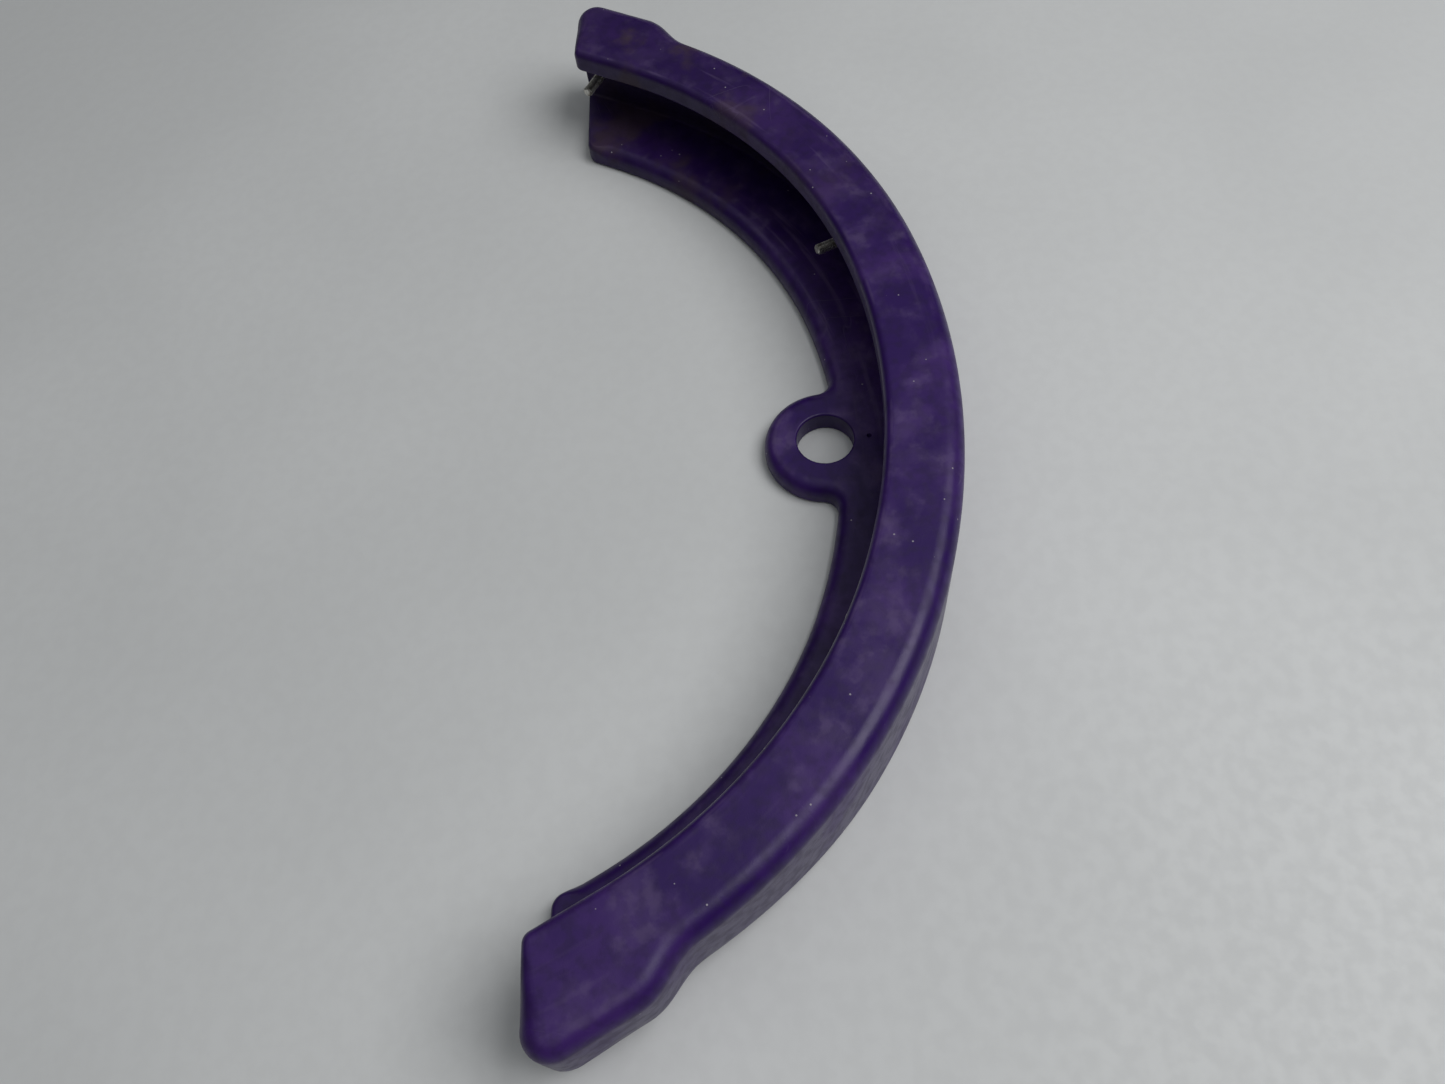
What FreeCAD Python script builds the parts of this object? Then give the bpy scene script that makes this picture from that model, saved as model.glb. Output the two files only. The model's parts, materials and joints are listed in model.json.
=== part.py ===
import FreeCAD, Part
import math
import os

# Curved edge bumper: a C-section moulding with a tow-eye lug, held on by four moulded-in studs.
# Millimetres. Origin on the lug bore's axis at the underside, X along the chord, apex at -Y, Z up.

HEIGHT = 63.5
FLANGE_THICK = 13.0
WEB_THICK = 14.0
UPPER_WIDTH = 38.0
LOWER_WIDTH = 59.0

# The outer line in plan: an arc at the apex, a tighter arc on each side, then a straight end.
APEX_Y = -66.0
APEX_RADIUS = 352.0
APEX_ANGLE = math.radians(15.9)
SIDE_RADIUS = 291.0
END_ANGLE = math.radians(61.25)
END_Y = 134.0

# Pads that stand out from the outer face at both ends.
PAD_BULGE = 10.0
PAD_START_ANGLE = math.radians(56.2)
PAD_FULL_AT = 6.0
PAD_HANDLE = 13.0
PAD_CORNER_RADIUS = 12.0

LUG_RADIUS = 32.0
BORE_RADIUS = 15.0
NECK_RADIUS = 8.0
VENT_Y = -23.0
VENT_RADIUS = 1.25
VENT_DEPTH = 3.0

TOP_ROUND = 10.0
LIP_ROUND = 4.5
LOWER_ROUND = 7.5
INSIDE_ROUND = 4.0
LOWER_CORNER_RADIUS = 8.0

# Studs: a hexagon head and a collar buried in the web, and a shank that comes out square to its face.
STUD_RADIUS = 3.0
STUD_EMBED = 10.0
TIP_CHAMFER = 0.8
COLLAR_RADIUS = 4.0
COLLAR_PROUD = 0.5
HEAD_ACROSS_FLATS = 10.0
HEAD_THICK = 4.0
MID_STUD_ANGLE = math.radians(22.7)
MID_STUD_TIP = 42.0
END_STUD_ALONG = 31.0
END_STUD_TIP = 35.0
STUD_Z = HEIGHT / 2

UP = FreeCAD.Vector(0, 0, 1)
CENTRE = FreeCAD.Vector(0, 0, 0)
ACROSS = FreeCAD.Vector(1, 0, 0)
SAME = 0.01


def outward(angle):
    """Unit vector out of the bend, turned from -Y towards +X."""
    return FreeCAD.Vector(math.sin(angle), -math.cos(angle), 0)


def along(angle):
    """Unit vector along the bend at the same angle, away from the apex."""
    return FreeCAD.Vector(math.cos(angle), math.sin(angle), 0)


APEX_CENTRE = FreeCAD.Vector(0, APEX_Y + APEX_RADIUS, 0)
SIDE_CENTRE = APEX_CENTRE + outward(APEX_ANGLE) * (APEX_RADIUS - SIDE_RADIUS)


def apex_point(angle, inset):
    """Point on the apex arc, moved in from the outer line by the inset."""
    return APEX_CENTRE + outward(angle) * (APEX_RADIUS - inset)


def side_point(angle, inset):
    """Point on the side arc, moved in from the outer line by the inset."""
    return SIDE_CENTRE + outward(angle) * (SIDE_RADIUS - inset)


def straight_point(distance, inset):
    """Point on the straight end section, this far along it from the side arc."""
    return side_point(END_ANGLE, inset) + along(END_ANGLE) * distance


def end_point(inset):
    """Point where the straight end section meets the end plane."""
    rise = END_Y - side_point(END_ANGLE, inset).y
    return straight_point(rise / math.sin(END_ANGLE), inset)


def inset_of(point):
    """How far a point lies inside the outer line, the pads left out."""
    place = FreeCAD.Vector(abs(point.x), point.y, 0)
    from_apex = place - APEX_CENTRE
    if math.atan2(from_apex.x, -from_apex.y) <= APEX_ANGLE:
        return APEX_RADIUS - from_apex.Length
    from_side = place - SIDE_CENTRE
    if math.atan2(from_side.x, -from_side.y) <= END_ANGLE:
        return SIDE_RADIUS - from_side.Length
    return (side_point(END_ANGLE, 0) - place).dot(outward(END_ANGLE))


def arc(first, middle, last):
    return Part.Arc(first, middle, last).toShape()


def line(first, last):
    return Part.LineSegment(first, last).toShape()


def mirrored(shape):
    return shape.mirror(CENTRE, ACROSS)


def apex_arc(inset):
    """Right half of the apex arc."""
    first = apex_point(0, inset)
    return arc(first, apex_point(APEX_ANGLE / 2, inset), apex_point(APEX_ANGLE, inset))


def side_arc(last_angle, inset):
    """Side arc from the apex arc to this angle."""
    first = side_point(APEX_ANGLE, inset)
    middle = side_point((APEX_ANGLE + last_angle) / 2, inset)
    return arc(first, middle, side_point(last_angle, inset))


def half_inner(inset):
    """Right half of a line parallel to the outer line, from the apex to the end plane."""
    straight = line(side_point(END_ANGLE, inset), end_point(inset))
    return [apex_arc(inset), side_arc(END_ANGLE, inset), straight]


def pad_swell():
    """Curve that carries the outer line out onto the pad."""
    foot = side_point(PAD_START_ANGLE, 0)
    full = straight_point(PAD_FULL_AT, -PAD_BULGE)
    foot_handle = foot + along(PAD_START_ANGLE) * PAD_HANDLE
    full_handle = full - along(END_ANGLE) * PAD_HANDLE
    curve = Part.BezierCurve()
    curve.setPoles([foot, foot_handle, full_handle, full])
    return curve.toShape()


def half_outer():
    """Right half of the outer line, with the pad."""
    pad_line = line(straight_point(PAD_FULL_AT, -PAD_BULGE), end_point(-PAD_BULGE))
    return [apex_arc(0), side_arc(PAD_START_ANGLE, 0), pad_swell(), pad_line]


def band(width, low, high):
    """Prism between the outer line and a parallel line this far inside it."""
    end_line = line(end_point(-PAD_BULGE), end_point(width))
    half = half_outer() + half_inner(width) + [end_line]
    edges = half + [mirrored(edge) for edge in half]
    wire = Part.Wire(Part.__sortEdges__(edges))
    prism = Part.Face(wire).extrude(UP * (high - low))
    prism.translate(UP * low)
    return prism


def middle_of(edge):
    return edge.valueAt((edge.FirstParameter + edge.LastParameter) / 2)


def upright_edges(shape, place):
    """Upright edges at this place in plan and at its mirror image."""
    found = []
    for edge in shape.Edges:
        centre = middle_of(edge)
        first = edge.Vertexes[0].Point
        last = edge.Vertexes[-1].Point
        is_upright = abs(first.z - last.z) > 1 and abs(first.x - last.x) < SAME
        if is_upright and math.hypot(abs(centre.x) - place.x, centre.y - place.y) < SAME:
            found.append(edge)
    return found


def level_edges(shape, height, nearest, farthest):
    """Level edges at this height whose inset lies between two limits, the bore left out."""
    found = []
    for edge in shape.Edges:
        centre = middle_of(edge)
        heights = [vertex.Z for vertex in edge.Vertexes] + [centre.z]
        is_level = max(abs(z - height) for z in heights) < SAME
        if is_level and nearest <= inset_of(centre) <= farthest:
            found.append(edge)
    return found


def neck_corner():
    """Where the lug's circle crosses the lower flange's inner line."""
    radius = APEX_RADIUS - LOWER_WIDTH
    rise = (LUG_RADIUS ** 2 - radius ** 2 + APEX_CENTRE.y ** 2) / (2 * APEX_CENTRE.y)
    return FreeCAD.Vector(math.sqrt(LUG_RADIUS ** 2 - rise ** 2), rise, 0)


def channel():
    """Web, two flanges and the lug in one solid, still with sharp top and inside edges."""
    web = band(WEB_THICK, 0, HEIGHT)
    lower = band(LOWER_WIDTH, 0, FLANGE_THICK)
    upper = band(UPPER_WIDTH, HEIGHT - FLANGE_THICK, HEIGHT)
    lug = Part.makeCylinder(LUG_RADIUS, FLANGE_THICK)
    shape = web.fuse([lower, upper, lug]).removeSplitter()
    shape = shape.makeFillet(NECK_RADIUS, upright_edges(shape, neck_corner()))
    shape = shape.makeFillet(LOWER_CORNER_RADIUS, upright_edges(shape, end_point(LOWER_WIDTH)))
    return shape.makeFillet(PAD_CORNER_RADIUS, upright_edges(shape, end_point(-PAD_BULGE)))


def rounded(shape):
    """The channel with its top, lip, lower and inside edges rounded."""
    outer = level_edges(shape, HEIGHT, -2 * PAD_BULGE, UPPER_WIDTH - 1)
    shape = shape.makeFillet(TOP_ROUND, outer)
    lip = level_edges(shape, HEIGHT, UPPER_WIDTH - 1, UPPER_WIDTH + 1)
    shape = shape.makeFillet(LIP_ROUND, lip)
    rim = level_edges(shape, FLANGE_THICK, WEB_THICK + 1, LOWER_WIDTH + 2 * LUG_RADIUS)
    shape = shape.makeFillet(LOWER_ROUND, rim)
    for height in (FLANGE_THICK, HEIGHT - FLANGE_THICK):
        inside = level_edges(shape, height, WEB_THICK - 1, WEB_THICK + 1)
        shape = shape.makeFillet(INSIDE_ROUND, inside)
    return shape


def stud_head():
    """Hexagon head, standing on the level plane."""
    corner_radius = HEAD_ACROSS_FLATS / math.sqrt(3)
    corners = []
    for step in range(7):
        angle = math.radians(60 * step + 30)
        corners.append(FreeCAD.Vector(math.cos(angle), math.sin(angle), 0) * corner_radius)
    return Part.Face(Part.makePolygon(corners)).extrude(UP * HEAD_THICK)


def stud(tip, exposed, direction):
    """Stud with its free end at tip, this much of it in the open, and its head in the given direction."""
    length = exposed + STUD_EMBED
    shank = Part.makeCylinder(STUD_RADIUS, length)
    free_end = [edge for edge in shank.Edges if middle_of(edge).z < SAME]
    shank = shank.makeChamfer(TIP_CHAMFER, free_end)
    collar = Part.makeCylinder(COLLAR_RADIUS, STUD_EMBED, UP * (exposed - COLLAR_PROUD))
    head = stud_head()
    head.translate(UP * (length - HEAD_THICK))
    shape = shank.fuse([collar, head]).removeSplitter()
    turn = FreeCAD.Rotation(UP, direction)
    shape.Placement = FreeCAD.Placement(tip + UP * STUD_Z, turn)
    return shape


def moulding(studs):
    """The bumper's one moulding, with its bore, its vent mark and the studs' seats."""
    shape = rounded(channel())
    bore = Part.makeCylinder(BORE_RADIUS, FLANGE_THICK + 2, UP * -1)
    vent_foot = FreeCAD.Vector(0, VENT_Y, FLANGE_THICK - VENT_DEPTH)
    vent = Part.makeCylinder(VENT_RADIUS, VENT_DEPTH + 1, vent_foot)
    return shape.cut([bore, vent] + list(studs.values()))


def make_studs():
    """The four studs by node name."""
    mid_tip = side_point(MID_STUD_ANGLE, MID_STUD_TIP)
    mid = stud(mid_tip, MID_STUD_TIP - WEB_THICK, outward(MID_STUD_ANGLE))
    end_tip = straight_point(END_STUD_ALONG, END_STUD_TIP)
    end = stud(end_tip, END_STUD_TIP - WEB_THICK, outward(END_ANGLE))
    return {
        "stud_mid_right": mid,
        "stud_mid_left": mirrored(mid),
        "stud_end_right": end,
        "stud_end_left": mirrored(end),
    }


def main():
    os.makedirs("parts", exist_ok=True)
    studs = make_studs()
    studs["bumper_moulding"] = moulding(studs)
    for name, shape in studs.items():
        shape.exportStep("parts/" + name + ".step")


main()
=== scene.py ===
import json
import math

import bmesh
import bpy
from mathutils import Matrix, Vector
from mathutils.geometry import interpolate_bezier


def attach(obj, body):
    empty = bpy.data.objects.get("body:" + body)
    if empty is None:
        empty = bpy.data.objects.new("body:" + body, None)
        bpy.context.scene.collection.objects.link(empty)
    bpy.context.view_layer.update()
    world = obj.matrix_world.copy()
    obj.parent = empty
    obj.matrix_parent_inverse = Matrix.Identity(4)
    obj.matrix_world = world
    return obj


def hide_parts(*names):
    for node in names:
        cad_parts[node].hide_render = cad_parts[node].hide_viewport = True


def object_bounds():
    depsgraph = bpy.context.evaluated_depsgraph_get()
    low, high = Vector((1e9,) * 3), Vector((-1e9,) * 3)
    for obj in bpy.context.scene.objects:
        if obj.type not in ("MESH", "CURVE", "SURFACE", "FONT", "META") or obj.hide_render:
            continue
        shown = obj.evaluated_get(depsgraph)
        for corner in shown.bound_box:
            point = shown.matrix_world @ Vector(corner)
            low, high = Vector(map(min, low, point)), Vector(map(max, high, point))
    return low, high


# A curved edge bumper: one C-section moulding with an eye lug, and four threaded studs.
# Metres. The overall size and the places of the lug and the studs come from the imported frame.

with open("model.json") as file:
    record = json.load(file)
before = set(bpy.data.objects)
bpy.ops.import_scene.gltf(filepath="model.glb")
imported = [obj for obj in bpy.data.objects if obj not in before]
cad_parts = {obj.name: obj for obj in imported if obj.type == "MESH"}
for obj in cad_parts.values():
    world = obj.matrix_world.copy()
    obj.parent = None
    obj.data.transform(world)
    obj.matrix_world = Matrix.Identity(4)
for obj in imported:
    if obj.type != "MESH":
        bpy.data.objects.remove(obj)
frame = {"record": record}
cad_low, cad_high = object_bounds()
mounts = {mount["name"]: mount for mount in frame["record"]["mounts"]}
STUD_NODES = ["stud_mid_right", "stud_mid_left", "stud_end_right", "stud_end_left"]

HEIGHT = cad_high.z
END_Y = cad_high.y
APEX_Y = cad_low.y
BORE_RADIUS = mounts["lug_bore"]["dims"]["r_mm"] / 1000

# Section.
FLANGE_THICK = 0.013
WEB_THICK = 0.014
UPPER_WIDTH = 0.038
LOWER_WIDTH = 0.059
INSIDE_ROUND = 0.004

# Outer line in plan: an apex arc, a tighter arc on each side, then a straight end with a pad.
APEX_RADIUS = 0.352
APEX_ANGLE = math.radians(15.9)
SIDE_RADIUS = 0.291
END_ANGLE = math.radians(61.25)
PAD_BULGE = 0.010
PAD_START_ANGLE = math.radians(56.2)
PAD_FULL_AT = 0.006
PAD_HANDLE = 0.013
PAD_CORNER_RADIUS = 0.012
LIP_CORNER_RADIUS = 0.0055
RIM_CORNER_RADIUS = 0.008
LUG_RADIUS = 0.032
NECK_RADIUS = 0.008
VENT_Y = -0.023
VENT_RADIUS = 0.00125
VENT_DEPTH = 0.003

# Radii of the rounded edges.
TOP_ROUND = 0.010
LIP_ROUND = 0.0045
INNER_END_ROUND = 0.0015
RIM_ROUND = 0.0075
RIM_END_ROUND = 0.003
BASE_ROUND = 0.002
BORE_ROUND = 0.0012
VENT_ROUND = 0.0003

# The outer foot's rounding grows along the side arcs and is largest under the pads.
FOOT_GROWTH_START = 0.190
PAD_FOOT_RISE = 0.036
PAD_FOOT_REACH = 0.014
CORNER_FOOT_REACH = 0.009
END_FOOT_RISE = 0.008

# Steps along the moulding and round its arcs.
LUG_STEPS = 22
NECK_STEPS = 7
ARC_STEP = 0.005
SWELL_STEPS = 14
STRAIGHT_STEPS = 8
CORNER_STEPS = 12
END_STEPS = 10
FILLET_STEPS = 5
BORE_STEPS = 36
VENT_STEPS = 8
ROUND_STEPS = 8
BEVEL_SEGMENTS = 5
BEVEL_WIDTH = INNER_END_ROUND
FLAT_END_STEPS = CORNER_STEPS + 2

# Studs: a turned shank with a rolled 6 mm thread, a collar at the web and a buried hexagon head.
THREAD_PITCH = 0.001
THREAD_DEPTH = 0.00055
THREAD_SLOPE = 2.6
THREAD_CREST = 0.8
THREAD_SIDES = 40
THREAD_RINGS = 10
TIP_CHAMFER = 0.0008
COLLAR_RADIUS = 0.004
COLLAR_PROUD = 0.0005
STUD_EMBED = 0.010
HEAD_THICK = 0.004
HEAD_ACROSS_FLATS = 0.010
STUD_SHARP_ANGLE = math.radians(40)

# Circle that the rub marks and scratches follow.
BEND_CENTRE_Y = 0.245
BEND_RADIUS = 0.305

# Scratches: the turn of each set, the fineness of its lines, and how closely its places lie.
SCRATCHES = ((0.05, 5.0, 21.0), (1.2, 7.0, 17.0), (-0.7, 6.0, 24.0))

# Colours.
DEEP_PURPLE = (0.024, 0.006, 0.088, 1)
MID_PURPLE = (0.052, 0.018, 0.140, 1)
DARK_PURPLE = (0.012, 0.004, 0.034, 1)
HAZY_PURPLE = (0.100, 0.062, 0.180, 1)
RUBBED_PURPLE = (0.120, 0.082, 0.185, 1)
DIRT_BROWN = (0.060, 0.038, 0.030, 1)
DUST_WHITE = (0.34, 0.31, 0.36, 1)
ZINC_DULL = (0.50, 0.49, 0.45, 1)
ZINC_BRIGHT = (0.70, 0.69, 0.64, 1)
ZINC_GRIME = (0.16, 0.13, 0.10, 1)
FLOOR_DULL = (0.60, 0.61, 0.61, 1)
FLOOR_PALE = (0.65, 0.66, 0.66, 1)
FLOOR_GRIME = (0.50, 0.50, 0.50, 1)

# Each layer of colour over the deep purple: the wear, dirt or painted shade it follows, how strong it is,
# and its colour.
COLOUR_LAYERS = [
    ("clouds", 0.75, MID_PURPLE),
    ("mottle", 0.36, DARK_PURPLE),
    ("haze", 0.26, HAZY_PURPLE),
    ("scuffs", 0.30, RUBBED_PURPLE),
    # Painted shade: the far half is darkened by its place along X.
    ("painted far shade", 0.40, DARK_PURPLE),
    ("rubs", 0.50, RUBBED_PURPLE),
    ("edge", 0.22, RUBBED_PURPLE),
    ("dirt", 0.55, DIRT_BROWN),
    ("scratches", 0.20, RUBBED_PURPLE),
    # Painted shade in the channel under the upper flange; its roughness layer below is dust dulling the
    # gloss.
    ("inside", 0.60, DARK_PURPLE),
    ("specks", 0.80, DUST_WHITE),
]

# How much each kind of wear adds to the moulding's roughness.
ROUGH_BASE = 0.32
ROUGH_LAYERS = [
    ("clouds", 0.10),
    ("mottle", 0.08),
    ("scuffs", 0.15),
    ("rubs", 0.12),
    ("dirt", 0.18),
    ("inside", 0.35),
]
MOULDING_SPECULAR = 0.28

# Studio: the sky's brightness by height, one soft lamp, and the floor.
SKY_SHADES = [(0.50, 0.03), (1.0, 0.55)]
SKY_TINT = (0.95, 0.98, 1)
LAMP_PLACE = Vector((-0.1, -1.15, 1.85))
LAMP_SIZE = 1.5
LAMP_POWER = 30
FLOOR_REACH = 3

# The camera stands over the left half and looks down across the bend, turned on its side.
CAMERA_PLACE = Vector((-0.3423, 0.0176, 0.5251))
CAMERA_AIM = Vector((-0.0511, 0.0561, 0.0))
CAMERA_UP = Vector((0.8748, -0.0595, 0.4807))
CAMERA_LENS = 29.12
CAMERA_SENSOR = 36
CAMERA_NEAREST = 0.01


def outward(angle):
    """Unit vector out of the bend, turned from -Y towards +X."""
    return Vector((math.sin(angle), -math.cos(angle)))


def along(angle):
    """Unit vector along the bend at the same angle, away from the apex."""
    return Vector((math.cos(angle), math.sin(angle)))


APEX_CENTRE = Vector((0, APEX_Y + APEX_RADIUS))
SIDE_CENTRE = APEX_CENTRE + outward(APEX_ANGLE) * (APEX_RADIUS - SIDE_RADIUS)
APEX_END = APEX_RADIUS * APEX_ANGLE
SIDE_END = APEX_END + SIDE_RADIUS * (END_ANGLE - APEX_ANGLE)
PAD_START = APEX_END + SIDE_RADIUS * (PAD_START_ANGLE - APEX_ANGLE)


def straight_start(inset):
    """Where the side arc, moved in by the inset, runs into the straight end."""
    return SIDE_CENTRE + outward(END_ANGLE) * (SIDE_RADIUS - inset)


def end_corner(inset):
    """Where the straight end, moved in by the inset, meets the end plane."""
    start = straight_start(inset)
    return start + along(END_ANGLE) * ((END_Y - start.y) / math.sin(END_ANGLE))


def place(distance, inset):
    """Plan point this far along the outer line from the apex, moved in by the inset."""
    if distance <= APEX_END:
        return APEX_CENTRE + outward(distance / APEX_RADIUS) * (APEX_RADIUS - inset)
    if distance <= SIDE_END:
        angle = APEX_ANGLE + (distance - APEX_END) / SIDE_RADIUS
        return SIDE_CENTRE + outward(angle) * (SIDE_RADIUS - inset)
    return straight_start(inset) + along(END_ANGLE) * (distance - SIDE_END)


def even(first, last, steps):
    """Evenly spaced numbers from first to last, both included."""
    return [first + (last - first) * step / steps for step in range(steps + 1)]


def neck_centre():
    """Centre of the fillet between the lug and the lower flange's inner line."""
    from_lug = LUG_RADIUS + NECK_RADIUS
    from_apex = APEX_RADIUS - LOWER_WIDTH - NECK_RADIUS
    y = (from_lug ** 2 - from_apex ** 2 + APEX_CENTRE.y ** 2) / (2 * APEX_CENTRE.y)
    return Vector((math.sqrt(from_lug ** 2 - y ** 2), y))


NECK_CENTRE = neck_centre()
FROM_APEX = NECK_CENTRE - APEX_CENTRE
NECK_END = APEX_RADIUS * math.atan2(FROM_APEX.x, -FROM_APEX.y)


def lug_outline():
    """Right half of the lug's outline, from its far point round the neck to the flange's line."""
    last = math.atan2(NECK_CENTRE.x, NECK_CENTRE.y)
    points = []
    for angle in even(0, last, LUG_STEPS):
        points.append(Vector((math.sin(angle), math.cos(angle))) * LUG_RADIUS)
    first_turn = math.atan2(-NECK_CENTRE.y, -NECK_CENTRE.x) + 2 * math.pi
    last_turn = math.atan2(FROM_APEX.y, FROM_APEX.x) + 2 * math.pi
    for angle in even(first_turn, last_turn, NECK_STEPS)[1:]:
        points.append(NECK_CENTRE + Vector((math.cos(angle), math.sin(angle))) * NECK_RADIUS)
    return points


def main_distances():
    """Stations from the apex to where the pad is full, as distances along the outer line."""
    lug = even(0, NECK_END, LUG_STEPS + NECK_STEPS)
    arcs = even(NECK_END, PAD_START, round((PAD_START - NECK_END) / ARC_STEP))
    swell = even(PAD_START, SIDE_END + PAD_FULL_AT, SWELL_STEPS)
    return lug + arcs[1:] + swell[1:]


DISTANCES = main_distances()


def end_run(start, corner, radius, towards):
    """Points from start, itself left out, to the end plane, with the corner rounded."""
    before = (corner - start).normalized()
    turn = before.angle(towards)
    foot = corner - before * (radius * math.tan(turn / 2))
    centre = foot + (towards - before * before.dot(towards)).normalized() * radius
    points = [start.lerp(foot, share) for share in even(0, 1, STRAIGHT_STEPS)[1:]]
    for angle in even(0, turn, CORNER_STEPS)[1:]:
        points.append(centre + (foot - centre) * math.cos(angle) + before * (radius * math.sin(angle)))
    return points


def plain_row(inset):
    """Right half of a line that runs square into the end plane."""
    points = [place(distance, inset) for distance in DISTANCES]
    steps = STRAIGHT_STEPS + CORNER_STEPS
    corner = end_corner(inset)
    return points + [points[-1].lerp(corner, share) for share in even(0, 1, steps)[1:]]


def cornered_row(inset, radius):
    """Right half of an inner line whose corner at the end plane is rounded."""
    points = [place(distance, inset) for distance in DISTANCES]
    return points + end_run(points[-1], end_corner(inset), radius, Vector((1, 0)))


def rim_row():
    """Right half of the lower flange's inner line, with the lug."""
    points = cornered_row(LOWER_WIDTH, RIM_CORNER_RADIUS)
    lug = lug_outline()
    return lug + points[len(lug):]


def outer_row():
    """Right half of the outer line, with the pad."""
    points = [place(distance, 0) for distance in DISTANCES if distance <= PAD_START]
    foot = points[-1]
    full = place(SIDE_END + PAD_FULL_AT, -PAD_BULGE)
    foot_handle = foot + along(PAD_START_ANGLE) * PAD_HANDLE
    full_handle = full - along(END_ANGLE) * PAD_HANDLE
    swell = interpolate_bezier(foot, foot_handle, full_handle, full, SWELL_STEPS + 1)
    points += [Vector(point[:2]) for point in swell[1:]]
    return points + end_run(full, end_corner(-PAD_BULGE), PAD_CORNER_RADIUS, Vector((-1, 0)))


def smooth(share):
    """The share, kept from 0 to 1, eased at both ends."""
    share = min(1, max(0, share))
    return share * share * (3 - 2 * share)


def foot_rises():
    """How high the outer foot's rounding starts at each station of the right half."""
    full = SIDE_END + PAD_FULL_AT
    rises = []
    for distance in DISTANCES:
        growth = smooth((distance - FOOT_GROWTH_START) / (full - FOOT_GROWTH_START))
        bulge = smooth((distance - PAD_START) / (full - PAD_START))
        rises.append(BASE_ROUND + (PAD_FOOT_RISE - PAD_BULGE - BASE_ROUND) * growth + PAD_BULGE * bulge)
    corner = [smooth(share) for share in even(0, 1, CORNER_STEPS)[1:]]
    rises += [PAD_FOOT_RISE] * STRAIGHT_STEPS
    return rises + [PAD_FOOT_RISE + (END_FOOT_RISE - PAD_FOOT_RISE) * share for share in corner]


def foot_reaches(rises):
    """How far in the outer foot's rounding goes at each station, less in the corner."""
    reaches = [min(rise, PAD_FOOT_REACH) for rise in rises[:len(DISTANCES)]]
    for share in even(0, 1, STRAIGHT_STEPS)[1:]:
        reaches.append(PAD_FOOT_REACH + (CORNER_FOOT_REACH - PAD_FOOT_REACH) * smooth(share))
    return reaches + [CORNER_FOOT_REACH] * CORNER_STEPS


REACH = len(DISTANCES) - 1 + STRAIGHT_STEPS + CORNER_STEPS
STATIONS = list(range(REACH + 1)) + list(range(-REACH, 0))
LUG_REACH = LUG_STEPS + NECK_STEPS


def mirrored(right):
    """A right half completed with its mirror image, so that index -n is the image of index n."""
    return right + [Vector((-point.x, point.y)) for point in right[:0:-1]]


def closed_line(inner):
    """A flange's outline in plan: the outer line, the end, and the inner line back, on both sides."""
    outer = outer_row()
    end = [outer[-1].lerp(inner[-1], share) for share in even(0, 1, END_STEPS)[1:-1]]
    right = outer + end + inner[::-1]
    return right + [Vector((-point.x, point.y)) for point in right[-2:0:-1]]


def closed_sizes(outer, inner_size):
    """Sizes that go with a closed line: by station outside, easing across the end to one size inside."""
    ease = [outer[-1] + (inner_size - outer[-1]) * smooth(share) for share in even(0, 1, END_STEPS)]
    right = outer + ease[1:-1] + [inner_size] * len(outer)
    return right + right[-2:0:-1]


def rim_rounds():
    """Radius of the lower flange's top edge by station, less towards the ends and in the corners."""
    right = [RIM_ROUND] * (REACH + 1 - CORNER_STEPS - STRAIGHT_STEPS)
    for share in even(0, 1, STRAIGHT_STEPS)[1:]:
        right.append(RIM_ROUND + (RIM_END_ROUND - RIM_ROUND) * smooth(share))
    right += [RIM_END_ROUND] * CORNER_STEPS
    return right + right[:0:-1]


def inward_directions(line):
    """Unit vectors to the left of a closed line's travel."""
    directions = []
    for index, point in enumerate(line):
        before = (point - line[index - 1]).normalized()
        after = (line[(index + 1) % len(line)] - point).normalized()
        travel = (before + after).normalized()
        directions.append(Vector((-travel.y, travel.x)))
    return directions


def outer_part(ring):
    """A ring's outer side by station."""
    return [ring[station] for station in STATIONS]


def inner_part(ring):
    """A ring's inner side by station."""
    return [ring[len(ring) // 2 - station] for station in STATIONS]


def end_part(ring, side):
    """A ring's vertices in one end, from its outer side to its inner side, both left out."""
    return [ring[side * (REACH + step)] for step in range(1, END_STEPS)]


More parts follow.
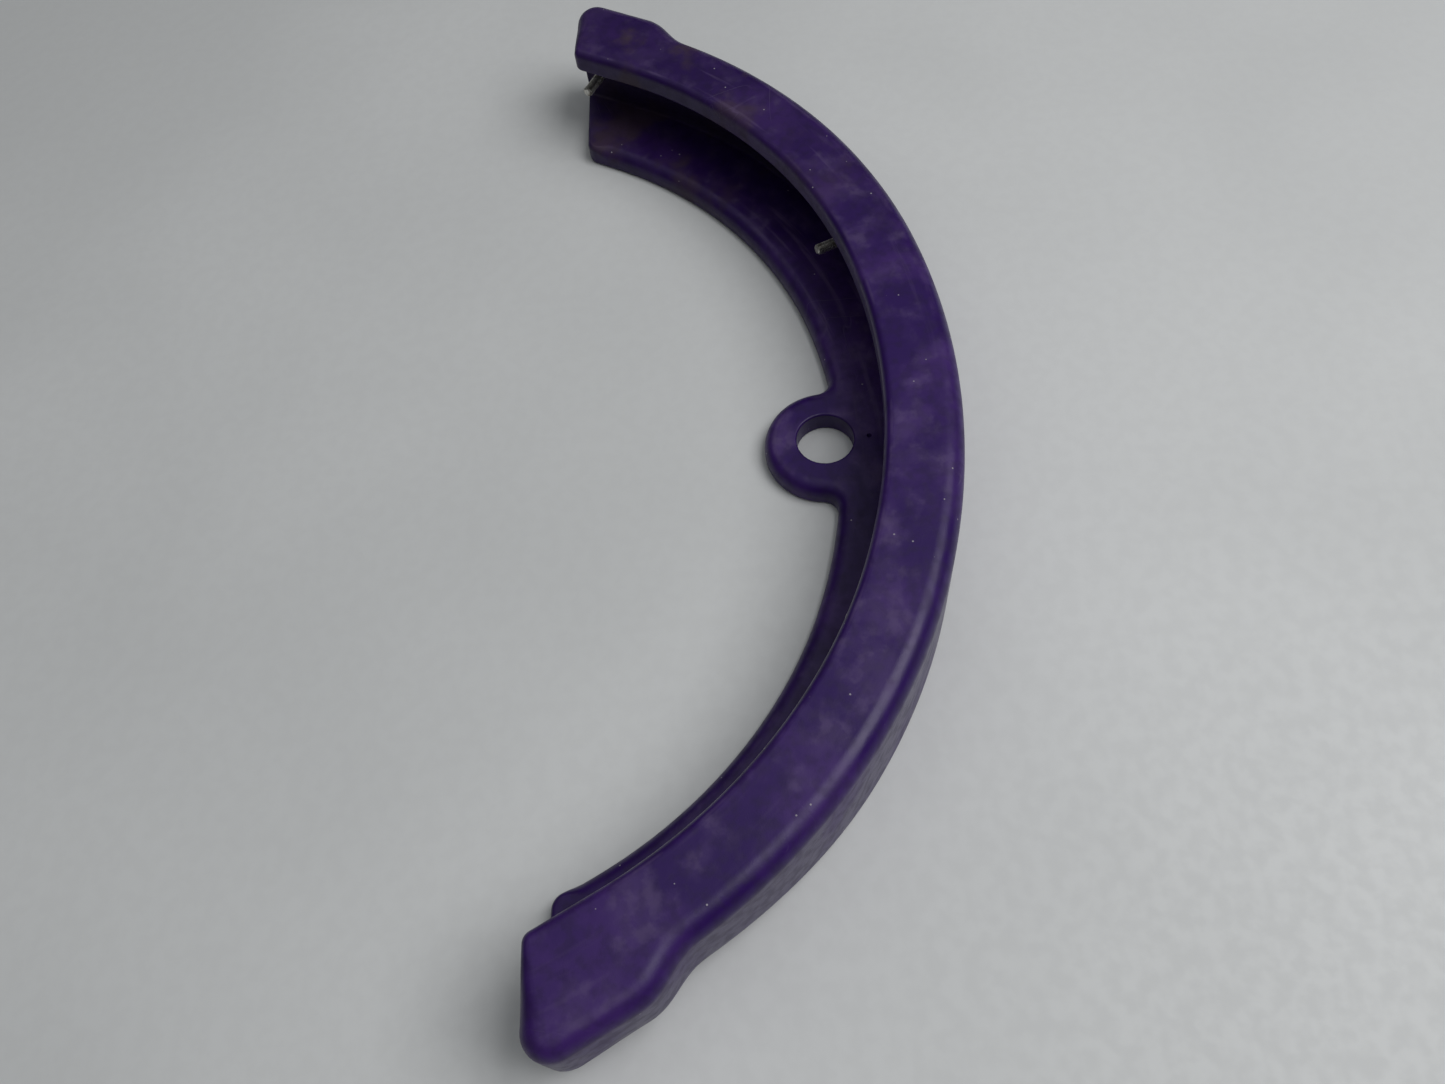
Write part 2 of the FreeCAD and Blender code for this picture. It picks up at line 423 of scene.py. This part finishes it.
class Shell:
    """The moulding's mesh: rings round both flanges' edges, with rows of vertices between them."""

    def __init__(self):
        self.mesh = bmesh.new()
        self.weight = self.mesh.edges.layers.float.new("bevel_weight_edge")
        lip = cornered_row(UPPER_WIDTH, LIP_CORNER_RADIUS)
        rim = rim_row()
        top_sizes = closed_sizes([TOP_ROUND] * (REACH + 1), LIP_ROUND)
        rises = foot_rises()
        base_rises = closed_sizes(rises, BASE_ROUND)
        base_reaches = closed_sizes(foot_reaches(rises), BASE_ROUND)
        lip_line = closed_line(lip)
        rim_line = closed_line(rim)
        lip_inward = inward_directions(lip_line)
        rim_inward = inward_directions(rim_line)
        rim_sizes = rim_rounds()
        self.top = self.rings(lip_line, lip_inward, top_sizes, top_sizes, HEIGHT, 1)
        self.base = self.rings(rim_line, rim_inward, base_reaches, base_rises, 0, -1)
        inner_line = inner_part(rim_line)
        inner_inward = inner_part(rim_inward)
        self.rim = self.rings(inner_line, inner_inward, rim_sizes, rim_sizes, FLANGE_THICK, 1)
        self.lip_foot = self.row(lip, HEIGHT - FLANGE_THICK)
        self.web = self.web_rows()

    def rings(self, line, inward, reaches, rises, height, side):
        """Rings of vertices over a quarter round, from the wall to the flat at this height."""
        rings = []
        for angle in even(0, math.pi / 2, ROUND_STEPS):
            ring = []
            for point, direction, reach, rise in zip(line, inward, reaches, rises):
                spot = point + direction * (reach * (1 - math.cos(angle)))
                z = height - side * rise * (1 - math.sin(angle))
                ring.append(self.mesh.verts.new((spot.x, spot.y, z)))
            rings.append(ring)
        return rings

    def row(self, right, z):
        """An open row's vertices by station."""
        return [self.mesh.verts.new((point.x, point.y, z)) for point in mirrored(right)]

    def web_rows(self):
        """Rows round the two inside fillets, from the upper flange to the lower one."""
        rows = []
        for angle in even(0, math.pi / 2, FILLET_STEPS):
            inset = WEB_THICK + INSIDE_ROUND * (1 - math.sin(angle))
            drop = INSIDE_ROUND * (1 - math.cos(angle))
            rows.append(self.row(plain_row(inset), HEIGHT - FLANGE_THICK - drop))
        for angle in even(0, math.pi / 2, FILLET_STEPS):
            inset = WEB_THICK + INSIDE_ROUND * (1 - math.cos(angle))
            rise = INSIDE_ROUND * (1 - math.sin(angle))
            rows.append(self.row(plain_row(inset), FLANGE_THICK + rise))
        return rows

    def round_edge(self, first, last, radius):
        """Mark the edge between two vertices to be rounded by the bevel."""
        edge = self.mesh.edges.get((first, last))
        edge[self.weight] = radius / BEVEL_WIDTH

    def round_row(self, row, radius):
        """Mark all of a row's edges to be rounded."""
        for station in range(-REACH, REACH):
            self.round_edge(row[station], row[station + 1], radius)

    def bridge(self, row, following):
        """Faces between two neighbouring rows."""
        for station in range(-REACH, REACH):
            corners = (row[station], row[station + 1], following[station + 1], following[station])
            self.mesh.faces.new(corners)

    def bridge_rings(self, rings):
        """Faces over a quarter round."""
        for ring, following in zip(rings, rings[1:]):
            for index in range(-1, len(ring) - 1):
                corners = (ring[index], ring[index + 1], following[index + 1], following[index])
                self.mesh.faces.new(corners)

    def fill_flat(self, outer, inner, first, ends):
        """Flat faces from this station to both ends, where one face takes in the last stations."""
        last = REACH - FLAT_END_STEPS
        for side, end in zip((1, -1), ends):
            for station in range(first, last):
                here = side * station
                beyond = here + side
                self.mesh.faces.new((outer[here], outer[beyond], inner[beyond], inner[here]))
            outline = [outer[side * station] for station in range(last, REACH + 1)] + end
            outline += [inner[side * station] for station in range(REACH, last - 1, -1)]
            self.mesh.faces.new(outline)


def add_walls(shell):
    """Upright and rounded faces along the moulding."""
    shell.bridge(outer_part(shell.base[0]), outer_part(shell.top[0]))
    shell.bridge_rings(shell.top)
    shell.bridge(inner_part(shell.top[0]), shell.lip_foot)
    for row, following in zip(shell.web, shell.web[1:]):
        shell.bridge(row, following)
    for row, following in zip(shell.rim, shell.rim[1:]):
        shell.bridge(row, following)
    shell.bridge(shell.rim[0], inner_part(shell.base[0]))
    shell.bridge_rings(shell.base)


def add_flats(shell):
    """Level faces of the two flanges, the part round the lug left out."""
    no_ends = ([], [])
    top_ends = [end_part(shell.top[-1], side) for side in (1, -1)]
    base_ends = [end_part(shell.base[-1], side) for side in (1, -1)]
    shell.fill_flat(outer_part(shell.top[-1]), inner_part(shell.top[-1]), 0, top_ends)
    shell.fill_flat(shell.web[0], shell.lip_foot, 0, no_ends)
    shell.fill_flat(shell.web[-1], shell.rim[-1], LUG_REACH, no_ends)
    shell.fill_flat(outer_part(shell.base[-1]), inner_part(shell.base[-1]), LUG_REACH, base_ends)


def add_ends(shell):
    """The C-shaped faces in the end planes, closed up to the rim, with their inner edges marked."""
    for side in (1, -1):
        station = side * REACH
        inside = [shell.lip_foot[station]] + [row[station] for row in shell.web]
        outline = [outer_part(shell.top[0])[station]] + end_part(shell.top[0], side)
        outline += [inner_part(shell.top[0])[station]] + inside + [shell.rim[0][station]]
        outline += [inner_part(shell.base[0])[station]] + end_part(shell.base[0], side)[::-1]
        shell.mesh.faces.new(outline + [outer_part(shell.base[0])[station]])
        for row, following in zip(shell.rim, shell.rim[1:]):
            shell.mesh.faces.new((inside[-1], row[station], following[station]))
        for first, last in zip(inside, inside[1:]):
            shell.round_edge(first, last, INNER_END_ROUND)


def circle(shell, centre_y, radius, z, steps):
    """Vertices of a circle on the middle plane, from its far point round through +X."""
    verts = []
    for step in range(steps):
        angle = 2 * math.pi * step / steps
        x = radius * math.sin(angle)
        verts.append(shell.mesh.verts.new((x, centre_y + radius * math.cos(angle), z)))
    return verts


def half_circle(verts, side):
    """The circle's vertices on one side, from its far point to its near point."""
    return [verts[side * step] for step in range(len(verts) // 2 + 1)]


def add_lug_faces(shell):
    """The flat faces above and below the lug, each in two halves round the holes."""
    bore_top = circle(shell, 0, BORE_RADIUS, FLANGE_THICK, BORE_STEPS)
    bore_foot = circle(shell, 0, BORE_RADIUS, 0, BORE_STEPS)
    vent_top = circle(shell, VENT_Y, VENT_RADIUS, FLANGE_THICK, VENT_STEPS)
    vent_floor = circle(shell, VENT_Y, VENT_RADIUS, FLANGE_THICK - VENT_DEPTH, VENT_STEPS)
    levels = [
        (shell.web[-1], shell.rim[-1], [bore_top, vent_top]),
        (outer_part(shell.base[-1]), inner_part(shell.base[-1]), [bore_foot]),
    ]
    for outer, inner, holes in levels:
        for side in (1, -1):
            outline = [outer[side * station] for station in range(LUG_REACH + 1)]
            outline += [inner[side * station] for station in range(LUG_REACH, -1, -1)]
            for hole in holes:
                outline += half_circle(hole, side)
            shell.mesh.faces.new(outline)
    for upper, lower in ((bore_top, bore_foot), (vent_top, vent_floor)):
        for step in range(-1, len(upper) - 1):
            shell.mesh.faces.new((upper[step], upper[step + 1], lower[step + 1], lower[step]))
    shell.mesh.faces.new(vent_floor)
    for hole, radius in ((bore_top, BORE_ROUND), (bore_foot, BORE_ROUND), (vent_top, VENT_ROUND)):
        for step in range(-1, len(hole) - 1):
            shell.round_edge(hole[step], hole[step + 1], radius)


def moulding_mesh():
    """The whole moulding, with the smaller radii still as bevel weights."""
    shell = Shell()
    add_walls(shell)
    add_flats(shell)
    add_ends(shell)
    add_lug_faces(shell)
    shell.round_row(shell.lip_foot, INNER_END_ROUND)
    bmesh.ops.recalc_face_normals(shell.mesh, faces=shell.mesh.faces)
    mesh = bpy.data.meshes.new("bumper_shell")
    shell.mesh.to_mesh(mesh)
    shell.mesh.free()
    return mesh


def new_object(name, mesh, material):
    """Link a mesh as a shown object with one material and smooth shading."""
    piece = bpy.data.objects.new(name, mesh)
    bpy.context.scene.collection.objects.link(piece)
    mesh.materials.append(material)
    mesh.shade_smooth()
    return piece


def make_moulding(material):
    """The moulding's shown object, with its smallest roundings made by a bevel."""
    piece = new_object("bumper_shell", moulding_mesh(), material)
    bevel = piece.modifiers.new("edge_rounding", "BEVEL")
    bevel.limit_method = "WEIGHT"
    bevel.width = BEVEL_WIDTH
    bevel.segments = BEVEL_SEGMENTS
    bevel.use_clamp_overlap = False
    bevel.loop_slide = False
    bevel.miter_outer = "MITER_SHARP"
    normals = piece.modifiers.new("flat_face_normals", "WEIGHTED_NORMAL")
    normals.keep_sharp = True
    normals.weight = 100
    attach(piece, "root")
    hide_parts("bumper_moulding")


def thread_radius(radius, height, turn, length):
    """Radius of a trapezoid thread at this height and turn, faded out at both ends."""
    phase = (height / THREAD_PITCH - turn) % 1
    groove = min(1, max(0, THREAD_SLOPE * abs(2 * phase - 1) - THREAD_CREST))
    fade = min(1, height / THREAD_PITCH, (length - height) / THREAD_PITCH)
    tip = max(0, TIP_CHAMFER - height)
    return min(radius - THREAD_DEPTH * groove * max(0, fade), radius - tip)


def stud_rings(radius, shank):
    """Heights and radii of the stud from its tip to the back of its head."""
    rings = []
    for height in even(0, shank, round(shank / THREAD_PITCH * THREAD_RINGS)):
        ring = []
        for side in range(THREAD_SIDES):
            ring.append(thread_radius(radius, height, side / THREAD_SIDES, shank))
        rings.append((height, ring))
    collar = [COLLAR_RADIUS] * THREAD_SIDES
    head = []
    for side in range(THREAD_SIDES):
        off_flat = (side / THREAD_SIDES * 6 % 1 - 0.5) * math.pi / 3
        head.append(HEAD_ACROSS_FLATS / 2 / math.cos(off_flat))
    back = shank + COLLAR_PROUD + STUD_EMBED
    rings.append((shank, collar))
    rings.append((back - HEAD_THICK, collar))
    rings.append((back - HEAD_THICK, head))
    rings.append((back, head))
    return rings


def stud_mesh(radius, shank):
    """A stud along +Z with its tip at the origin."""
    mesh = bmesh.new()
    grid = []
    for height, ring in stud_rings(radius, shank):
        verts = []
        for side, reach in enumerate(ring):
            angle = 2 * math.pi * side / THREAD_SIDES
            verts.append(mesh.verts.new((reach * math.cos(angle), reach * math.sin(angle), height)))
        grid.append(verts)
    for lower, upper in zip(grid, grid[1:]):
        for side in range(THREAD_SIDES):
            following = (side + 1) % THREAD_SIDES
            mesh.faces.new((lower[side], lower[following], upper[following], upper[side]))
    mesh.faces.new(grid[0][::-1])
    mesh.faces.new(grid[-1])
    data = bpy.data.meshes.new("stud")
    mesh.to_mesh(data)
    mesh.free()
    return data


def make_stud(node, material):
    """A stud in place, standing out of the web along its mount's axis."""
    mount = mounts[node + "_shank"]
    axis = Vector(mount["axis"]).normalized()
    wall = mount["dims"]["length_mm"] / 1000
    tip = Vector(mount["pos_m"]) + axis * (wall / 2 + TIP_CHAMFER)
    mesh = stud_mesh(mount["dims"]["r_mm"] / 1000, wall + TIP_CHAMFER)
    turn = Vector((0, 0, 1)).rotation_difference(-axis).to_matrix().to_4x4()
    mesh.transform(Matrix.Translation(tip) @ turn)
    piece = new_object(node + "_threaded", mesh, material)
    mesh.set_sharp_from_angle(angle=STUD_SHARP_ANGLE)
    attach(piece, "root")
    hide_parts(node)


class Nodes:
    """A material's node tree, with short ways to add and join nodes."""

    def __init__(self, name):
        self.material = bpy.data.materials.new(name)
        self.material.use_nodes = True
        self.tree = self.material.node_tree
        self.shader = self.tree.nodes["Principled BSDF"]
        self.coords = self.add("ShaderNodeTexCoord").outputs["Object"]

    def add(self, kind, **settings):
        """A new node with these settings."""
        node = self.tree.nodes.new(kind)
        for key, value in settings.items():
            setattr(node, key, value)
        return node

    def put(self, value, socket):
        """Join an output to a socket, or set the socket to a plain number."""
        if isinstance(value, bpy.types.NodeSocket):
            self.tree.links.new(value, socket)
        else:
            socket.default_value = value

    def maths(self, operation, first, second=0.0):
        """Result of one sum on outputs or plain numbers."""
        node = self.add("ShaderNodeMath", operation=operation)
        self.put(first, node.inputs[0])
        self.put(second, node.inputs[1])
        return node.outputs[0]

    def noise(self, coords, scale, detail):
        """Cloudy pattern from 0 to 1."""
        node = self.add("ShaderNodeTexNoise")
        self.put(coords, node.inputs["Vector"])
        self.put(scale, node.inputs["Scale"])
        self.put(detail, node.inputs["Detail"])
        return node.outputs["Fac"]

    def step(self, value, low, high):
        """Smooth rise from 0 to 1 while the value goes from low to high."""
        node = self.add("ShaderNodeMapRange", interpolation_type="SMOOTHSTEP")
        self.put(value, node.inputs["Value"])
        self.put(low, node.inputs["From Min"])
        self.put(high, node.inputs["From Max"])
        return node.outputs["Result"]

    def cloudy(self, scale, detail, low, high):
        """Patches where a noise rises from low to high."""
        return self.step(self.noise(self.coords, scale, detail), low, high)

    def product(self, first, *others):
        """Several shares multiplied together."""
        for other in others:
            first = self.maths("MULTIPLY", first, other)
        return first

    def between(self, value, low, high):
        """Straight change from low to high while the value goes from 0 to 1."""
        node = self.add("ShaderNodeMapRange")
        self.put(value, node.inputs["Value"])
        self.put(low, node.inputs["To Min"])
        self.put(high, node.inputs["To Max"])
        return node.outputs["Result"]

    def blend(self, share, first, second):
        """Colour between two colours, either of which may come from a node."""
        node = self.add("ShaderNodeMix", data_type="RGBA")
        self.put(share, node.inputs["Factor"])
        self.put(first, node.inputs["A"])
        self.put(second, node.inputs["B"])
        return node.outputs["Result"]

    def stretched(self, coords, turn, scale):
        """Coordinates turned about Z and stretched."""
        turned = self.add("ShaderNodeMapping")
        self.put(coords, turned.inputs["Vector"])
        self.put((0, 0, turn), turned.inputs["Rotation"])
        mapping = self.add("ShaderNodeMapping")
        self.put(turned.outputs["Vector"], mapping.inputs["Vector"])
        self.put(scale, mapping.inputs["Scale"])
        return mapping.outputs["Vector"]

    def lines(self, coords, scale, thickness):
        """Thin wandering lines where a noise crosses its middle value."""
        off_middle = self.maths("ABSOLUTE", self.maths("SUBTRACT", self.noise(coords, scale, 2.0), 0.5))
        return self.maths("SUBTRACT", 1.0, self.step(off_middle, 0.0, thickness))

    def bump(self, height, distance, under=None):
        """Normal that follows a height pattern, over another one if given."""
        node = self.add("ShaderNodeBump")
        self.put(height, node.inputs["Height"])
        self.put(distance, node.inputs["Distance"])
        if under:
            self.put(under, node.inputs["Normal"])
        return node.outputs["Normal"]


def bend_coordinates(nodes):
    """Coordinates that follow the bend, as distance round it, distance across it and height, and plain X."""
    split = nodes.add("ShaderNodeSeparateXYZ")
    nodes.put(nodes.coords, split.inputs["Vector"])
    back = nodes.maths("SUBTRACT", BEND_CENTRE_Y, split.outputs["Y"])
    across = nodes.maths("POWER", split.outputs["X"], 2.0)
    reach = nodes.maths("SQRT", nodes.maths("ADD", across, nodes.maths("POWER", back, 2.0)))
    turn = nodes.maths("ARCTAN2", split.outputs["X"], back)
    join = nodes.add("ShaderNodeCombineXYZ")
    nodes.put(nodes.maths("MULTIPLY", turn, BEND_RADIUS), join.inputs["X"])
    nodes.put(reach, join.inputs["Y"])
    nodes.put(split.outputs["Z"], join.inputs["Z"])
    return join.outputs["Vector"], split.outputs["X"]


def rub_marks(nodes, bend, x, level):
    """Streaks along the bend on level faces, fewer on the near half."""
    streaks = nodes.step(nodes.noise(nodes.stretched(bend, 0.0, (14, 210, 210)), 1.0, 4.0), 0.56, 0.74)
    far_half = nodes.between(nodes.step(x, -0.10, 0.10), 0.25, 1.0)
    return nodes.product(streaks, far_half, nodes.cloudy(11.0, 2.0, 0.40, 0.66), level)


def moulding_wear_and_shade(nodes):
    """Where each kind of wear and dirt, and the painted shade, lies on the moulding, from 0 to 1, by name.
    """
    bend, x = bend_coordinates(nodes)
    normal = nodes.add("ShaderNodeSeparateXYZ")
    nodes.put(nodes.add("ShaderNodeNewGeometry").outputs["Normal"], normal.inputs["Vector"])
    level = nodes.step(normal.outputs["Z"], 0.80, 0.985)
    top = nodes.step(normal.outputs["Z"], 0.86, 0.95)
    haze = nodes.product(nodes.cloudy(56.0, 9.0, 0.44, 0.68), level)
    return {
        "clouds": nodes.cloudy(26.0, 5.0, 0.42, 0.68),
        "mottle": nodes.cloudy(170.0, 6.0, 0.40, 0.66),
        "haze": haze,
        "scuffs": nodes.product(nodes.cloudy(130.0, 10.0, 0.48, 0.64), haze),
        # Painted shade: darker towards the far half, by position along X.
        "painted far shade": nodes.step(x, 0.02, 0.24),
        "rubs": rub_marks(nodes, bend, x, level),
        "edge": nodes.product(top, worn_edge(nodes, normal)),
        "dirt": nodes.product(nodes.cloudy(34.0, 6.0, 0.50, 0.66), nodes.step(x, 0.06, 0.27)),
        "scratches": marks(nodes, bend),
        # Painted shade in the channel, which also drives the dust's dull roughness.
        "inside": channel_shade_and_dust(nodes, normal),
        "specks": speckles(nodes, 240.0, 0.13),
    }


def moulding_material():
    """Deep purple satin plastic with cloudy scuffs, rub marks, scratches, specks and dirt, and painted shade
    on its far half and in its channel.
    """
    nodes = Nodes("purple_moulding")
    wear = moulding_wear_and_shade(nodes)
    colour = DEEP_PURPLE
    for name, strength, tint in COLOUR_LAYERS:
        colour = nodes.blend(nodes.between(wear[name], 0.0, strength), colour, tint)
    rough = ROUGH_BASE
    for name, amount in ROUGH_LAYERS:
        rough = nodes.maths("ADD", rough, nodes.between(wear[name], 0.0, amount))
    grain = nodes.bump(nodes.noise(nodes.coords, 1500.0, 2.0), 0.00004)
    ripple = nodes.bump(nodes.noise(nodes.coords, 90.0, 2.0), 0.00022, grain)
    relief = nodes.maths("SUBTRACT", wear["specks"], wear["scratches"])
    nodes.put(colour, nodes.shader.inputs["Base Color"])
    nodes.put(rough, nodes.shader.inputs["Roughness"])
    nodes.put(nodes.bump(relief, 0.00008, ripple), nodes.shader.inputs["Normal"])
    nodes.put(MOULDING_SPECULAR, nodes.shader.inputs["Specular IOR Level"])
    return nodes.material


def channel_shade_and_dust(nodes, normal):
    """The web's inner face and the fillets beside it: painted shade darkens them, and settled dust dulls
    their gloss.
    """
    spot = nodes.add("ShaderNodeSeparateXYZ")
    nodes.put(nodes.coords, spot.inputs["Vector"])
    back = nodes.maths("SUBTRACT", spot.outputs["Y"], BEND_CENTRE_Y)
    facing = nodes.maths("MULTIPLY", spot.outputs["X"], normal.outputs["X"])
    facing = nodes.maths("ADD", facing, nodes.maths("MULTIPLY", back, normal.outputs["Y"]))
    inward = nodes.maths("SUBTRACT", 1.0, nodes.step(facing, -0.16, -0.03))
    above = nodes.step(spot.outputs["Z"], FLANGE_THICK, FLANGE_THICK + 0.001)
    below = nodes.step(spot.outputs["Z"], HEIGHT - FLANGE_THICK, HEIGHT - FLANGE_THICK - 0.001)
    return nodes.product(inward, above, below)


def worn_edge(nodes, normal):
    """Broken wear just inside the level faces' edges."""
    inside = nodes.maths("SUBTRACT", 1.0, nodes.step(normal.outputs["Z"], 0.97, 0.9995))
    return nodes.product(inside, nodes.cloudy(60.0, 4.0, 0.45, 0.65))


def marks(nodes, bend):
    """Fine scratches: some along the bend, some across it, some slanting, each kept to a few places."""
    total = 0.0
    for turn, scale, spread in SCRATCHES:
        line = nodes.lines(nodes.stretched(bend, turn, (1.0, 7.0, 7.0)), scale, 0.006)
        kept = nodes.product(line, nodes.cloudy(spread, 3.0, 0.60, 0.68))
        total = nodes.maths("MAXIMUM", total, kept)
    return total


def speckles(nodes, scale, size):
    """Small specks in a few of a Voronoi pattern's cells."""
    cells = nodes.add("ShaderNodeTexVoronoi")
    nodes.put(nodes.coords, cells.inputs["Vector"])
    nodes.put(scale, cells.inputs["Scale"])
    chosen = nodes.add("ShaderNodeSeparateColor")
    nodes.put(cells.outputs["Color"], chosen.inputs["Color"])
    rare = nodes.step(chosen.outputs["Red"], 0.93, 0.94)
    near = nodes.maths("SUBTRACT", 1.0, nodes.step(cells.outputs["Distance"], size * 0.6, size))
    return nodes.maths("MULTIPLY", rare, near)


def zinc_material():
    """Dull zinc plate with mottling and grime."""
    nodes = Nodes("zinc_steel")
    mottle = nodes.cloudy(900.0, 5.0, 0.36, 0.68)
    grime = nodes.cloudy(320.0, 4.0, 0.50, 0.68)
    colour = nodes.blend(mottle, ZINC_DULL, ZINC_BRIGHT)
    colour = nodes.blend(nodes.between(grime, 0.0, 0.7), colour, ZINC_GRIME)
    rough = nodes.maths("ADD", nodes.between(mottle, 0.42, 0.28), nodes.between(grime, 0.0, 0.25))
    grain = nodes.bump(nodes.noise(nodes.coords, 4000.0, 2.0), 0.00002)
    nodes.put(colour, nodes.shader.inputs["Base Color"])
    nodes.put(rough, nodes.shader.inputs["Roughness"])
    nodes.put(grain, nodes.shader.inputs["Normal"])
    nodes.put(1.0, nodes.shader.inputs["Metallic"])
    return nodes.material


def floor_material():
    """Plain pale floor with a faint mottling."""
    nodes = Nodes("pale_floor")
    fine = nodes.cloudy(120.0, 4.0, 0.35, 0.65)
    colour = nodes.blend(nodes.cloudy(3.0, 3.0, 0.35, 0.65), FLOOR_DULL, FLOOR_PALE)
    colour = nodes.blend(nodes.between(fine, 0.0, 0.12), colour, FLOOR_GRIME)
    nodes.put(colour, nodes.shader.inputs["Base Color"])
    nodes.put(nodes.between(fine, 0.50, 0.60), nodes.shader.inputs["Roughness"])
    return nodes.material


def make_floor(material):
    """A square of floor centred under the moulding's lug."""
    mesh = bpy.data.meshes.new("floor")
    turns = ((-1, -1), (1, -1), (1, 1), (-1, 1))
    corners = [(x * FLOOR_REACH, y * FLOOR_REACH, 0) for x, y in turns]
    mesh.from_pydata(corners, [], [(0, 1, 2, 3)])
    piece = new_object("floor", mesh, material)


def make_lamp():
    """One large soft lamp that points at the lug."""
    data = bpy.data.lights.new("overhead", "AREA")
    data.shape = "SQUARE"
    data.size = LAMP_SIZE
    data.energy = LAMP_POWER
    lamp = bpy.data.objects.new("overhead", data)
    lamp.location = LAMP_PLACE
    lamp.rotation_euler = (-LAMP_PLACE).to_track_quat("-Z", "Y").to_euler()
    bpy.context.scene.collection.objects.link(lamp)


def make_world():
    """Soft studio surroundings: dim near the horizon and brighter overhead."""
    world = bpy.data.worlds.new("studio")
    world.use_nodes = True
    tree = world.node_tree
    coords = tree.nodes.new("ShaderNodeTexCoord")
    split = tree.nodes.new("ShaderNodeSeparateXYZ")
    ramp = tree.nodes.new("ShaderNodeValToRGB")
    for stop, (height, shade) in zip(ramp.color_ramp.elements, SKY_SHADES):
        stop.position = height
        stop.color = [shade * tint for tint in SKY_TINT] + [1]
    tree.links.new(coords.outputs["Generated"], split.inputs["Vector"])
    tree.links.new(split.outputs["Z"], ramp.inputs["Fac"])
    tree.links.new(ramp.outputs["Color"], tree.nodes["Background"].inputs["Color"])
    bpy.context.scene.world = world


def make_camera():
    """The camera of the photo."""
    data = bpy.data.cameras.new("camera")
    data.lens = CAMERA_LENS
    data.sensor_width = CAMERA_SENSOR
    data.clip_start = CAMERA_NEAREST
    camera = bpy.data.objects.new("camera", data)
    back = (CAMERA_PLACE - CAMERA_AIM).normalized()
    right = CAMERA_UP.cross(back).normalized()
    turn = Matrix((right, back.cross(right), back)).transposed()
    camera.matrix_world = Matrix.Translation(CAMERA_PLACE) @ turn.to_4x4()
    bpy.context.scene.collection.objects.link(camera)
    bpy.context.scene.camera = camera


bpy.context.scene.view_settings.view_transform = "Standard"
make_moulding(moulding_material())
steel = zinc_material()
for node in STUD_NODES:
    make_stud(node, steel)
make_floor(floor_material())
make_world()
make_lamp()
make_camera()
